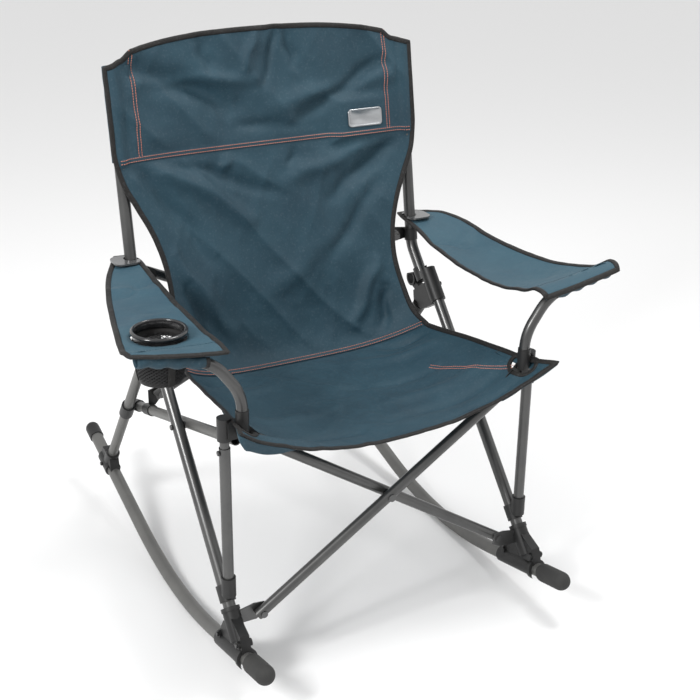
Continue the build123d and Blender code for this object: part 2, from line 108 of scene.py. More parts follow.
def soft_noise(grid, size, seed):
    """Smooth noise between -1 and 1 at each grid point."""
    shift = Vector((seed * 7.31, seed * 3.17, seed * 5.03))
    flat = grid.reshape(-1, 3)
    values = [noise.noise(Vector(p) / size + shift) for p in flat]
    return np.array(values).reshape(grid.shape[:2])


def creases(x, s, folds):
    """Height of listed folds: each is (x0, s0, x1, s1, half width, height)."""
    height = np.zeros_like(x)
    for x0, s0, x1, s1, width, depth in folds:
        dx, ds = x1 - x0, s1 - s0
        t = np.clip(((x - x0) * dx + (s - s0) * ds) / (dx * dx + ds * ds), 0, 1)
        wander = 0.25 * width * np.sin(9 * t + 40 * x0)
        across = ((x - x0) * ds - (s - s0) * dx) / math.hypot(dx, ds) + wander
        beyond = np.hypot(x - (x0 + t * dx), s - (s0 + t * ds))
        distance = np.where((t > 0) & (t < 1), np.abs(across), beyond)
        taper = np.sin(np.pi * (0.12 + 0.8 * t)) ** 0.8
        height += depth * taper * np.exp(-(distance / width) ** 2)
    return height


# ---- mesh builders -------------------------------------------------------------------------
def add_mesh(name, verts, faces, material, body, smooth=True):
    mesh = bpy.data.meshes.new(name)
    mesh.from_pydata([tuple(v) for v in verts], [], faces)
    mesh.validate()
    built = bmesh.new()
    built.from_mesh(mesh)
    bmesh.ops.recalc_face_normals(built, faces=built.faces)
    built.to_mesh(mesh)
    built.free()
    mesh.polygons.foreach_set("use_smooth", [smooth] * len(mesh.polygons))
    obj = bpy.data.objects.new(name, mesh)
    bpy.context.scene.collection.objects.link(obj)
    obj.data.materials.append(material)
    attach(obj, body)
    return obj


def thick_sheet(grid, thickness, hole=None):
    """Vertices and faces of a closed sheet: grid in front, a copy behind it, and edge strips."""
    rows, cols = grid.shape[:2]
    normals = grid_normals(grid)
    front = grid.reshape(-1, 3)
    back = (grid - normals * thickness).reshape(-1, 3)
    count = rows * cols
    keep = np.ones((rows - 1, cols - 1), bool)
    if hole is not None:
        centres = (grid[:-1, :-1] + grid[1:, 1:]) / 2
        keep = ~hole(centres)
    faces = []
    sides = {}
    for r, c in zip(*np.nonzero(keep)):
        quad = (r * cols + c, r * cols + c + 1, (r + 1) * cols + c + 1, (r + 1) * cols + c)
        faces.append(quad)
        faces.append(tuple(count + i for i in reversed(quad)))
        for i in range(4):
            edge = (quad[i], quad[(i + 1) % 4])
            if (edge[1], edge[0]) in sides:
                del sides[(edge[1], edge[0])]
            else:
                sides[edge] = True
    for a, b in sides:
        faces.append((b, a, a + count, b + count))
    return np.vstack([front, back]), faces


def frames_along(points, normals, closed=False):
    points, normals = np.asarray(points, float), np.asarray(normals, float)
    if closed:
        tangents = np.roll(points, -1, axis=0) - np.roll(points, 1, axis=0)
    else:
        tangents = np.gradient(points, axis=0)
    tangents /= np.maximum(np.linalg.norm(tangents, axis=1, keepdims=True), 1e-12)
    side = np.cross(tangents, normals)
    side /= np.maximum(np.linalg.norm(side, axis=1, keepdims=True), 1e-12)
    return tangents, side, np.cross(side, tangents)


def swept(points, normals, section, closed=False):
    """Vertices and faces of a section (list of (side, up)) swept along points."""
    points = np.asarray(points, float)
    _, side, up = frames_along(points, normals, closed)
    k, n = len(section), len(points)
    verts = [points[i] + side[i] * a + up[i] * b for i in range(n) for a, b in section]
    faces = []
    for i in range(n if closed else n - 1):
        j = (i + 1) % n
        for m in range(k):
            q = (m + 1) % k
            faces.append((i * k + m, i * k + q, j * k + q, j * k + m))
    if not closed:
        faces.append(tuple(range(k - 1, -1, -1)))
        faces.append(tuple((n - 1) * k + m for m in range(k)))
    return verts, faces


def rounded_section(inner, outer, half, steps=3):
    """Flattened ring from -outer to +inner, half thick, with rounded ends."""
    points = []
    for centre, start in ((inner - half, -90), (-outer + half, 90)):
        for i in range(steps + 1):
            angle = math.radians(start + 180 * i / steps)
            points.append((centre + half * math.cos(angle), half * math.sin(angle)))
    return points


def merged(parts):
    verts, faces = [], []
    for part_verts, part_faces in parts:
        base = len(verts)
        verts.extend(tuple(v) for v in part_verts)
        faces.extend(tuple(i + base for i in f) for f in part_faces)
    return verts, faces


def resample(points, normals, step):
    points, normals = np.asarray(points, float), np.asarray(normals, float)
    lengths = np.concatenate([[0], np.cumsum(np.linalg.norm(np.diff(points, axis=0), axis=1))])
    count = max(2, int(lengths[-1] / step) + 1)
    at = np.linspace(0, lengths[-1], count)
    pick = [np.interp(at, lengths, points[:, i]) for i in range(3)]
    lean = [np.interp(at, lengths, normals[:, i]) for i in range(3)]
    return np.array(pick).T, np.array(lean).T


def dash_row(points, normals, lift, pitch=0.0046, length=0.0036, radius=0.00075):
    """Row of thread stitches along a line on the cloth."""
    line, lean = resample(points, normals, pitch)
    tangents, side, up = frames_along(line, lean)
    parts = []
    ring = [(math.cos(a), math.sin(a)) for a in (math.radians(60 * i) for i in range(6))]
    for p, t, s, u in zip(line, tangents, side, up):
        verts = []
        for along, size in ((-0.5, 0.45), (-0.25, 1), (0.25, 1), (0.5, 0.45)):
            drop = 0.0004 if size < 1 else 0
            centre = p + t * length * along + u * (lift - drop)
            verts += [centre + (s * a + u * b) * radius * size for a, b in ring]
        faces = []
        for k in range(3):
            for m in range(6):
                q = (m + 1) % 6
                faces.append((k * 6 + m, k * 6 + q, k * 6 + 6 + q, k * 6 + 6 + m))
        faces.append(tuple(range(5, -1, -1)))
        faces.append(tuple(range(18, 24)))
        parts.append((verts, faces))
    return merged(parts)


# ---- materials -----------------------------------------------------------------------------
def new_material(name):
    material = bpy.data.materials.new(name)
    material.use_nodes = True
    nodes, links = material.node_tree.nodes, material.node_tree.links
    return material, nodes, links, nodes["Principled BSDF"]


def node(nodes, kind, **values):
    made = nodes.new(kind)
    for key, value in values.items():
        if hasattr(made, key):
            setattr(made, key, value)
        else:
            made.inputs[key.replace("_", " ")].default_value = value
    return made


def ramp(nodes, low, high, low_at=0.3, high_at=0.7):
    made = nodes.new("ShaderNodeValToRGB")
    made.color_ramp.elements[0].position = low_at
    made.color_ramp.elements[1].position = high_at
    made.color_ramp.elements[0].color = (*low, 1)
    made.color_ramp.elements[1].color = (*high, 1)
    return made


def woven(name, low, high, thread=0.0011, weave_bump=0.35, roughness=0.62, sheen=0.03, axes=("X", "Z")):
    """Plain-weave cloth: two crossed sets of threads, slubs, soft shade changes and faint dust."""
    material, nodes, links, shader = new_material(name)
    place = nodes.new("ShaderNodeTexCoord")
    cloud = node(nodes, "ShaderNodeTexNoise", Scale=9.0, Detail=5.0, Roughness=0.6)
    slub = node(nodes, "ShaderNodeTexNoise", Scale=260.0, Detail=2.0)
    shade = ramp(nodes, low, high, 0.32, 0.72)
    links.new(place.outputs["Object"], cloud.inputs["Vector"])
    links.new(place.outputs["Object"], slub.inputs["Vector"])
    links.new(cloud.outputs["Fac"], shade.inputs["Fac"])
    bands = []
    for axis in axes:
        band = node(nodes, "ShaderNodeTexWave", wave_type="BANDS", bands_direction=axis, Distortion=0.35)
        band.inputs["Scale"].default_value = 0.314 / thread
        band.inputs["Detail"].default_value = 1.0
        links.new(place.outputs["Object"], band.inputs["Vector"])
        bands.append(band)
    cross = node(nodes, "ShaderNodeMath", operation="MAXIMUM")
    links.new(bands[0].outputs["Fac"], cross.inputs[0])
    links.new(bands[1].outputs["Fac"], cross.inputs[1])
    speck = node(nodes, "ShaderNodeMixRGB", blend_type="MULTIPLY")
    speck.inputs["Fac"].default_value = 0.30
    tone = ramp(nodes, (0.55, 0.55, 0.55), (1, 1, 1), 0.1, 0.9)
    links.new(cross.outputs[0], tone.inputs["Fac"])
    links.new(shade.outputs["Color"], speck.inputs["Color1"])
    links.new(tone.outputs["Color"], speck.inputs["Color2"])
    dust = node(nodes, "ShaderNodeMixRGB", blend_type="SCREEN")
    dust_tone = ramp(nodes, (0, 0, 0), (0.05, 0.055, 0.06), 0.55, 0.85)
    links.new(slub.outputs["Fac"], dust_tone.inputs["Fac"])
    dust.inputs["Fac"].default_value = 0.5
    links.new(speck.outputs["Color"], dust.inputs["Color1"])
    links.new(dust_tone.outputs["Color"], dust.inputs["Color2"])
    links.new(dust.outputs["Color"], shader.inputs["Base Color"])
    rough = node(nodes, "ShaderNodeMapRange")
    rough.inputs["To Min"].default_value = roughness - 0.08
    rough.inputs["To Max"].default_value = roughness + 0.10
    links.new(cloud.outputs["Fac"], rough.inputs["Value"])
    links.new(rough.outputs["Result"], shader.inputs["Roughness"])
    thread_bump = node(nodes, "ShaderNodeBump", Strength=weave_bump, Distance=0.0004)
    links.new(cross.outputs[0], thread_bump.inputs["Height"])
    ripple = node(nodes, "ShaderNodeTexNoise", Scale=38.0, Detail=4.0, Roughness=0.55)
    links.new(place.outputs["Object"], ripple.inputs["Vector"])
    soft_bump = node(nodes, "ShaderNodeBump", Strength=0.22, Distance=0.004)
    links.new(ripple.outputs["Fac"], soft_bump.inputs["Height"])
    links.new(thread_bump.outputs["Normal"], soft_bump.inputs["Normal"])
    links.new(soft_bump.outputs["Normal"], shader.inputs["Normal"])
    shader.inputs["Sheen Weight"].default_value = sheen
    shader.inputs["Sheen Roughness"].default_value = 0.5
    shader.inputs["Specular IOR Level"].default_value = 0.35
    return material


def hard(name, low, high, roughness, metallic=0.0, grain=900.0, bump=0.08, scratch=0.0, coat=0.0):
    """Painted or moulded surface: colour drift, fine grain, worn and dusty patches."""
    material, nodes, links, shader = new_material(name)
    place = nodes.new("ShaderNodeTexCoord")
    drift = node(nodes, "ShaderNodeTexNoise", Scale=14.0, Detail=6.0, Roughness=0.65)
    fine = node(nodes, "ShaderNodeTexNoise", Scale=grain, Detail=3.0)
    links.new(place.outputs["Object"], drift.inputs["Vector"])
    links.new(place.outputs["Object"], fine.inputs["Vector"])
    tone = ramp(nodes, low, high, 0.3, 0.75)
    links.new(drift.outputs["Fac"], tone.inputs["Fac"])
    edge = nodes.new("ShaderNodeNewGeometry")
    worn = ramp(nodes, (0, 0, 0), (1, 1, 1), 0.53, 0.60)
    links.new(edge.outputs["Pointiness"], worn.inputs["Fac"])
    rub = node(nodes, "ShaderNodeMixRGB", blend_type="ADD")
    wear = node(nodes, "ShaderNodeMath", operation="MULTIPLY")
    wear.inputs[1].default_value = 0.02 + scratch
    links.new(worn.outputs["Color"], wear.inputs[0])
    links.new(wear.outputs[0], rub.inputs["Fac"])
    links.new(tone.outputs["Color"], rub.inputs["Color1"])
    rub.inputs["Color2"].default_value = (0.35, 0.35, 0.35, 1)
    links.new(rub.outputs["Color"], shader.inputs["Base Color"])
    rough = node(nodes, "ShaderNodeMapRange")
    rough.inputs["To Min"].default_value = max(0.05, roughness - 0.07)
    rough.inputs["To Max"].default_value = min(1, roughness + 0.09)
    links.new(drift.outputs["Fac"], rough.inputs["Value"])
    links.new(rough.outputs["Result"], shader.inputs["Roughness"])
    surface = node(nodes, "ShaderNodeBump", Strength=bump, Distance=0.0006)
    links.new(fine.outputs["Fac"], surface.inputs["Height"])
    links.new(surface.outputs["Normal"], shader.inputs["Normal"])
    shader.inputs["Metallic"].default_value = metallic
    shader.inputs["Specular IOR Level"].default_value = 0.35
    if coat:
        shader.inputs["Coat Weight"].default_value = coat
        shader.inputs["Coat Roughness"].default_value = 0.15
    return material


SLING = woven("sling_cloth", (0.0095, 0.036, 0.055), (0.016, 0.052, 0.075))
ARM = woven("arm_cloth", (0.020, 0.060, 0.088), (0.030, 0.082, 0.112), axes=("X", "Y"))
BINDING = woven("binding_tape", (0.004, 0.0035, 0.0035), (0.010, 0.009, 0.008), thread=0.0014,
                weave_bump=0.6)
THREAD = woven("stitch_thread", (0.42, 0.14, 0.095), (0.60, 0.24, 0.17), thread=0.0006, sheen=0.1)
MESH = woven("mesh_cloth", (0.007, 0.007, 0.008), (0.016, 0.016, 0.017), thread=0.0008)
FRAME_STEEL = hard("frame_steel", (0.065, 0.065, 0.065), (0.100, 0.100, 0.098), 0.33, metallic=0.75,
                   coat=0.25)
ROCKER_STEEL = hard("rocker_steel", (0.125, 0.125, 0.121), (0.170, 0.168, 0.160), 0.42, metallic=0.6)
RIVET_STEEL = hard("rivet_steel", (0.05, 0.05, 0.05), (0.10, 0.10, 0.10), 0.35, metallic=0.8, scratch=0.1)
PLASTIC = hard("black_plastic", (0.008, 0.008, 0.008), (0.016, 0.016, 0.016), 0.42, grain=1500.0, bump=0.2)
GLOSS = hard("gloss_plastic", (0.05, 0.052, 0.054), (0.10, 0.102, 0.104), 0.22, metallic=0.25, coat=0.6)
RIM = hard("rim_plastic", (0.010, 0.010, 0.011), (0.022, 0.022, 0.023), 0.18, coat=0.5)
RUBBER = hard("rubber", (0.022, 0.022, 0.022), (0.040, 0.040, 0.038), 0.72, grain=600.0, bump=0.3)
BADGE = hard("badge_metal", (0.34, 0.35, 0.36), (0.48, 0.49, 0.50), 0.30, metallic=0.9, grain=2500.0)


def dress_frame():
    """Every CAD node that stays visible gets its slot's material."""
    by_slot = {"frame_steel": FRAME_STEEL, "rocker_steel": ROCKER_STEEL, "rivet_steel": RIVET_STEEL}
    by_slot.update(black_plastic=PLASTIC, gloss_plastic=GLOSS, rubber=RUBBER, badge_metal=BADGE)
    by_slot.update(sling_cloth=SLING, arm_cloth=ARM, mesh_cloth=MESH)
    for part in frame["record"]["subparts"]:
        obj = frame["nodes"][part["node"]]
        obj.data.materials.clear()
        obj.data.materials.append(by_slot[part["material_slot"]])


# ---- sling ---------------------------------------------------------------------------------
# station: half width, edge y, edge z, middle y, middle z, flatness of the middle
BACK_STATIONS = [
    (0.255, -0.035, 0.447, 0.035, 0.386, 4.0),
    (0.250, 0.010, 0.463, 0.060, 0.415, 3.2),
    (0.244, 0.041, 0.504, 0.078, 0.465, 2.7),
    (0.239, 0.068, 0.556, 0.091, 0.530, 2.5),
    (0.243, 0.086, 0.610, 0.105, 0.600, 2.5),
    (0.258, 0.100, 0.665, 0.120, 0.665, 2.5),
    (0.281, 0.113, 0.715, 0.134, 0.720, 2.6),
    (0.302, 0.123, 0.760, 0.146, 0.765, 3.0),
    (0.310, 0.132, 0.800, 0.153, 0.800, 4.0),
    (0.311, 0.142, 0.860, 0.165, 0.860, 4.5),
    (0.311, 0.152, 0.915, 0.176, 0.915, 4.5),
    (0.311, 0.160, 0.962, 0.185, 0.962, 4.5),
]
SEAT_STATIONS = [
    BACK_STATIONS[0],
    (0.260, -0.080, 0.452, -0.020, 0.383, 3.6),
    (0.268, -0.150, 0.462, -0.100, 0.385, 3.2),
    (0.276, -0.250, 0.474, -0.210, 0.389, 2.9),
    (0.288, -0.340, 0.484, -0.312, 0.397, 2.6),
    (0.302, -0.384, 0.494, -0.354, 0.403, 2.4),
]
ARCH = 0.047                                # rise of the top edge's middle
SHOULDER_Z = BACK_STATIONS[-1][2]           # top edge at its outer ends
BACK_ROWS, SEAT_ROWS, SLING_COLS = 180, 140, 150
BACK_FOLDS = [
    (-0.25, 0.955, -0.06, 0.872, 0.020, -0.011), (-0.24, 0.93, -0.02, 0.915, 0.012, 0.005),
    (0.25, 0.925, 0.07, 0.835, 0.014, -0.008), (0.26, 0.90, 0.02, 0.86, 0.018, 0.006),
    (0.03, 1.0, 0.0, 0.90, 0.008, -0.005), (-0.01, 1.0, -0.04, 0.93, 0.010, 0.005),
    (0.05, 0.99, 0.07, 0.93, 0.009, -0.004), (-0.12, 0.99, -0.10, 0.93, 0.012, -0.004),
    (-0.27, 0.79, -0.14, 0.60, 0.016, -0.007), (-0.24, 0.79, -0.05, 0.66, 0.014, 0.006),
    (-0.20, 0.785, 0.02, 0.70, 0.012, -0.004), (0.27, 0.78, 0.12, 0.68, 0.015, -0.007),
    (0.24, 0.785, 0.03, 0.72, 0.016, 0.005), (0.22, 0.70, 0.10, 0.56, 0.014, -0.004),
    (-0.22, 0.62, -0.12, 0.46, 0.014, 0.005), (-0.20, 0.56, -0.17, 0.43, 0.010, -0.005),
    (0.20, 0.55, 0.14, 0.43, 0.012, 0.005), (0.21, 0.50, 0.19, 0.41, 0.009, -0.005),
    (0.06, 0.80, 0.04, 0.745, 0.010, -0.004), (-0.08, 0.80, -0.10, 0.75, 0.010, 0.004),
    (-0.05, 0.835, 0.10, 0.815, 0.010, -0.003), (0.10, 0.60, -0.05, 0.50, 0.022, 0.003),
]
SEAT_FOLDS = [
    (0.25, -0.06, 0.14, 0.03, 0.012, -0.006), (0.24, -0.10, 0.10, -0.02, 0.014, 0.005),
    (-0.25, -0.06, -0.12, 0.03, 0.013, -0.006), (-0.24, -0.12, -0.08, -0.03, 0.015, 0.005),
    (0.27, -0.30, 0.02, -0.27, 0.016, -0.004), (0.26, -0.25, 0.05, -0.20, 0.014, 0.003),
    (-0.27, -0.31, -0.03, -0.29, 0.014, -0.004), (-0.25, -0.24, -0.02, -0.17, 0.016, 0.003),
    (-0.26, -0.34, -0.10, -0.335, 0.010, 0.004), (0.27, -0.35, 0.10, -0.335, 0.010, -0.003),
    (0.10, -0.10, -0.06, -0.16, 0.020, -0.002), (0.22, -0.18, 0.02, -0.11, 0.012, -0.0025),
]


def sling_grid(stations, rows, cols, arch):
    """Rows run from the first station to the last; columns from -X to +X."""
    scale = np.array([1, 1, 1, 1, 1, 0.01])     # flatness must not stretch the spacing of the rows
    path = catmull(np.array(stations) * scale, rows) / scale
    u = np.linspace(-1, 1, cols)
    half, edge_y, edge_z, mid_y, mid_z, power = (path[:, i:i + 1] for i in range(6))
    share = np.abs(u)[None, :] ** power
    x = half * u[None, :]
    y = mid_y + (edge_y - mid_y) * share
    z = mid_z + (edge_z - mid_z) * share
    if arch:
        rise = np.clip((z - SEAM_Z) / (SHOULDER_Z - SEAM_Z), 0, 1)
        step = np.clip((0.875 - np.abs(u)) / 0.045, 0, 1)[None, :]
        z = z + rise * ((arch - 0.010) * (1 - np.abs(u)[None, :] ** 2.6) + 0.010 * step)
        off = np.abs(x) - SIDE_X
        wrap = np.sqrt(np.maximum(POCKET_REACH**2 - off**2, 0))
        on_pole = np.clip((z - 0.762) / 0.03, 0, 1) * (np.abs(off) < POCKET_REACH)
        y = np.where(on_pole > 0, np.minimum(y, pole_y(z) - wrap * on_pole), y)
    return np.stack([x, y, z], axis=2)


def hem_weight(grid, border=0.035):
    """0 along the sheet's two side borders and 1 well inside, so that folds die out at the binding."""
    x = np.abs(grid[..., 0])
    edge = x.max(axis=1, keepdims=True)
    return np.clip((edge - x) / border, 0, 1)


def crumple(grid, along, folds, seed, calm, share=1.0):
    """Moves the cloth along its normals by folds and ripples, and lays it flat behind the badge."""
    height = (1.2 + share) * creases(grid[..., 0], grid[..., along], folds)
    height = height + 0.0045 * share * soft_noise(grid, 0.10, seed)
    height = height + 0.0004 * soft_noise(grid, 0.018, seed + 5)
    for lean, size, tall in ((0.9, 0.150, 0.0075), (-0.35, 0.105, 0.0030), (0.2, 0.035, 0.0014)):
        slant = np.stack([grid[..., 0] + lean * grid[..., along], grid[..., 1] * 0.3,
                          grid[..., along] * 0.35], axis=2)
        sharp = 1 - np.abs(soft_noise(slant, size, seed + 10 * lean))
        height = height + tall * share * (sharp ** 5 - 0.3)
    moved = grid + grid_normals(grid) * (height * hem_weight(grid) * calm)[..., None]
    middle = (LABEL_LOW + LABEL_HIGH) / 2
    far = np.maximum(np.abs(grid[..., 0] - middle.x) / 0.047, np.abs(grid[..., 2] - middle.z) / 0.030)
    near = np.clip((1.7 - far) / 0.7, 0, 1)
    near = near * near * (3 - 2 * near)
    plane = middle.y + 0.0014 + (grid[..., 2] - middle.z) * POLE_LEAN
    moved[..., 1] = moved[..., 1] * (1 - near) + plane * near
    return moved


def edge_line(grid, side):
    """Border points with normals: side is "left", "right", "first" or "last"."""
    normals = grid_normals(grid)
    pick = {"left": np.s_[:, 0], "right": np.s_[:, -1], "first": np.s_[0, :], "last": np.s_[-1, :]}[side]
    return grid[pick], normals[pick]


def binding(name, grid, names, body, closed=False, inner=0.0085, outer=0.0018, half=0.0026):
    """Folded tape over the named borders of the sheet, taken in order round it."""
    lines = []
    for word in names:
        points, normals = edge_line(grid, word)
        back = word in ("right", "first")
        lines.append((points[::-1], normals[::-1]) if back else (points, normals))
    points = np.vstack([line[0] for line in lines])
    normals = np.vstack([line[1] for line in lines])
    distinct = np.concatenate([[True], np.linalg.norm(np.diff(points, axis=0), axis=1) > 1e-5])
    points, normals = resample(points[distinct], normals[distinct], 0.006)
    if closed:
        points, normals = points[:-1], normals[:-1]
    ripple = np.array([noise.noise(Vector(p) * 45) for p in points]) * 0.0008
    points = points + normals * (ripple[:, None] - CLOTH_T / 2)
    _, side, _ = frames_along(points, normals, closed)
    inward = grid.reshape(-1, 3).mean(axis=0) - points
    section = rounded_section(inner, outer, half)
    if (side * inward).sum() < 0:
        section = [(-a, b) for a, b in reversed(section)]
    verts, faces = swept(points, normals, section, closed)
    return add_mesh(name, verts, faces, BINDING, body)


def sample_line(grid, normals, spots):
    """Points and normals of the sheet at fractional (row, column) spots."""
    points, leans = [], []
    for r, c in spots:
        i = min(int(r), grid.shape[0] - 2)
        j = min(int(c), grid.shape[1] - 2)
        a, b = r - i, c - j
        weights = ((1 - a) * (1 - b), (1 - a) * b, a * (1 - b), a * b)
        corners = ((i, j), (i, j + 1), (i + 1, j), (i + 1, j + 1))
        points.append(sum(w * grid[k] for w, k in zip(weights, corners)))
        leans.append(sum(w * normals[k] for w, k in zip(weights, corners)))
    return np.array(points), np.array(leans)


def row_at(grid, column, axis, value):
    """Fractional row where a column reaches a coordinate value."""
    line = grid[:, column, axis]
    order = np.argsort(line)
    return float(np.interp(value, line[order], np.arange(len(line))[order]))


def across_line(grid, axis, value):
    """Spots of a line across the smooth sheet at a constant coordinate."""
    cols = np.arange(3, grid.shape[1] - 3)
    rows = [row_at(grid, c, axis, value) for c in cols]
    return list(zip(rows, cols.astype(float)))


def down_line(grid, axis, low, high, x_of):
    """Spots of a line along the sheet between two coordinate values at x given by x_of."""
    spots = []
    cols = grid.shape[1]
    for value in np.linspace(low, high, 80):
        x = x_of(value)
        guess = cols // 2
        r = row_at(grid, guess, axis, value)
        for _ in range(3):
            c = float(np.interp(x, grid[int(min(r, grid.shape[0] - 2)), :, 0], np.arange(cols)))
            r = row_at(grid, int(round(c)), axis, value)
        spots.append((r, c))
    return spots


def spot_at(grid, x, y):
    """Fractional (row, column) of the seat sheet above a place on the floor."""
    flat = np.hypot(grid[..., 0] - x, grid[..., 1] - y)
    r, c = (float(v) for v in np.unravel_index(np.argmin(flat), flat.shape))
    for _ in range(4):
        line = grid[int(min(r, grid.shape[0] - 2)), :, 0]
        c = float(np.interp(x, line, np.arange(len(line))))
        r = row_at(grid, int(round(c)), 1, y)
    return r, c


def fold_flat(obj):
    """Gives a piece of cloth or trim its own copy of its mesh data."""
    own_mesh(obj)


def stitch_lines(name, grid, lines, body, lift=0.0004, gap=0.0030):
    """Twin rows of thread along each line of spots."""
    normals = grid_normals(grid)
    parts = []
    for spots in lines:
        points, leans = sample_line(grid, normals, spots)
        _, side, _ = frames_along(points, leans)
        for offset in (-gap, gap):
            parts.append(dash_row(points + side * offset, leans, lift))
    verts, faces = merged(parts)
    return add_mesh(name, verts, faces, THREAD, body)


def seam_ridge(name, grid, spots, body, width=0.0055, height=0.0010):
    """Folded seam allowance under the twin stitching."""
    points, leans = sample_line(grid, grid_normals(grid), spots)
    points, leans = resample(points, leans, 0.006)
    section = rounded_section(width, width, height)
    verts, faces = swept(points + leans * 0.0001, leans, section)
    return add_mesh(name, verts, faces, SLING, body)


def pole_pocket(side):
    """Back half of the sleeve that holds the back pole."""
    rows, steps = 34, 12
    reach = POCKET_REACH
    grid = np.zeros((rows, steps + 3, 3))
    for r, z in enumerate(np.linspace(0.795, 0.961, rows)):
        arc = [math.radians(180 * i / steps) for i in range(steps + 1)]
        line = [(SIDE_X + reach * math.cos(a), pole_y(z) + reach * math.sin(a)) for a in arc]
        line += [(SIDE_X - reach - 0.010, pole_y(z) + 0.003), (SIDE_X - reach - 0.022, pole_y(z) + 0.0035)]
        for c, (x, y) in enumerate(line):
            grid[r, c] = (side * x, y, z)
    grid = grid + grid_normals(grid) * (0.0006 * soft_noise(grid, 0.02, 9))[..., None]
    verts, faces = thick_sheet(grid, CLOTH_T * (1 if side > 0 else -1))
    name = "pole_pocket_right" if side > 0 else "pole_pocket_left"
    obj = add_mesh(name, verts, faces, SLING, "left_pole")
    fold_flat(obj)


def build_back():
    smooth = sling_grid(BACK_STATIONS, BACK_ROWS, SLING_COLS, ARCH)
    row = np.arange(BACK_ROWS)[:, None]
    calm = np.clip((np.abs(smooth[..., 2] - SEAM_Z) - 0.008) / 0.025, 0, 1)
    calm = calm * np.clip((row - 5) / 10, 0, 1)
    grid = crumple(smooth, 2, BACK_FOLDS, 2, calm)
    verts, faces = thick_sheet(grid, CLOTH_T)
    back = add_mesh("back_cloth", verts, faces, SLING, "left_pole")
    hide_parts("back_panel", "headrest_panel")
    tape = binding("back_binding", grid, ("left", "last", "right"), "left_pole")
    seam = across_line(smooth, 2, SEAM_Z)
    lines = []
    for side in (-1, 1):
        lines.append(down_line(smooth, 2, SEAM_Z + 0.006, 0.985, lambda z, s=side: s * 0.2565))
    pieces = [back, tape, stitch_lines("back_stitching", grid, lines, "left_pole")]
    pieces.append(stitch_lines("headrest_seam_stitching", grid, [seam], "left_pole", 0.0014))
    pieces.append(seam_ridge("headrest_seam", grid, seam, "left_pole"))
    low_seam = [(2.2, c) for c in np.linspace(2, 147, 120)]
    pieces.append(stitch_lines("seat_seam_stitching", grid, [low_seam], "left_pole", 0.0014))
    pieces.append(seam_ridge("seat_seam", grid, low_seam, "left_pole"))
    for piece in pieces:
        fold_flat(piece)
    for side in (-1, 1):
        pole_pocket(side)
    return grid


def arm_hole(side):
    low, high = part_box(("left" if side < 0 else "right") + "_arm_tube")
    foot_x = side * (min(abs(low.x), abs(high.x)) + 0.0095)
    return Vector((foot_x, high.y - 0.0095, 0.48))


def build_seat():
    smooth = sling_grid(SEAT_STATIONS, SEAT_ROWS, SLING_COLS, 0)
    calm = np.clip(np.arange(SEAT_ROWS)[:, None] / 12, 0, 1)
    grid = crumple(smooth, 1, SEAT_FOLDS, 4, calm, 0.42)
    holes = [arm_hole(side) for side in (-1, 1)]

    def cut(centres):
        inside = np.zeros(centres.shape[:2], bool)
        for spot in holes:
            dx, dy = (centres[..., 0] - spot.x) / HOLE_RX, (centres[..., 1] - spot.y) / HOLE_RY
            inside |= dx ** 2 + dy ** 2 < 1
        return inside

    verts, faces = thick_sheet(grid, CLOTH_T, hole=cut)
    seat = add_mesh("seat_cloth", verts, faces, SLING, "seat_sling")
    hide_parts("seat_panel")
    tape = binding("seat_binding", grid, ("left", "last", "right"), "seat_sling")
    pieces = [seat, tape]
    normals = grid_normals(grid)
    rims = []
    for spot in holes:
        turn = [math.tau * i / 36 for i in range(36)]
        round_it = [(spot.x + HOLE_RX * math.cos(a), spot.y + HOLE_RY * math.sin(a)) for a in turn]
        points, leans = sample_line(grid, normals, [spot_at(smooth, x, y) for x, y in round_it])
        points = points - leans * CLOTH_T / 2
        rims.append(swept(points, leans, rounded_section(0.0045, 0.0045, 0.0024), closed=True))
    verts, faces = merged(rims)
    pieces.append(add_mesh("arm_hole_binding", verts, faces, BINDING, "seat_sling"))
    short = []
    for side in (-1, 1):
        places = [(side * (0.190 + 0.075 * t), -0.150 - 0.170 * t) for t in np.linspace(0, 1, 50)]
        short.append([spot_at(smooth, x, y) for x, y in places])
    pieces.append(stitch_lines("seat_stitching", grid, short, "seat_sling"))
    pieces += corner_flaps(grid)
    for piece in pieces:
        fold_flat(piece)


def corner_flaps(seat):
    """Pocket cloth that hangs under each front corner of the seat, round the bracket."""
    made = []
    for side, word in ((-1, "left"), (1, "right")):
        rows, cols = 16, 40
        grid = np.zeros((rows, cols, 3))
        column = 0 if side < 0 else -1
        edge = catmull(seat[-52:, column, :], 24)
        front = seat[-1, :26] if side < 0 else seat[-1, :-27:-1]
        path = np.vstack([edge, front[2:]])
        path, _ = resample(path, path, 0.005)
        pick = np.linspace(0, len(path) - 1, cols)
        top = np.array([np.interp(pick, np.arange(len(path)), path[:, i]) for i in range(3)]).T
        for c in range(cols):
            t = c / (cols - 1)
            swell = max(0, math.sin(math.pi * min(1, 0.05 + 0.95 * t))) ** 0.8
            depth = (0.028 if side < 0 else 0.012) * swell + 0.002
            for r in range(rows):
                s = r / (rows - 1)
                inward = 0.012 * s * math.sin(math.pi * s * 0.5)
                x, y, z = top[c]
                grid[r, c] = (x - side * inward, y + 0.006 * s, z - 0.003 - depth * s)
        grid = grid + grid_normals(grid) * (0.0035 * soft_noise(grid, 0.05, 12 + side))[..., None]
        verts, faces = thick_sheet(grid, CLOTH_T)
        flap = add_mesh(f"corner_flap_{word}", verts, faces, SLING, "seat_sling")
        made.append(flap)
    return made


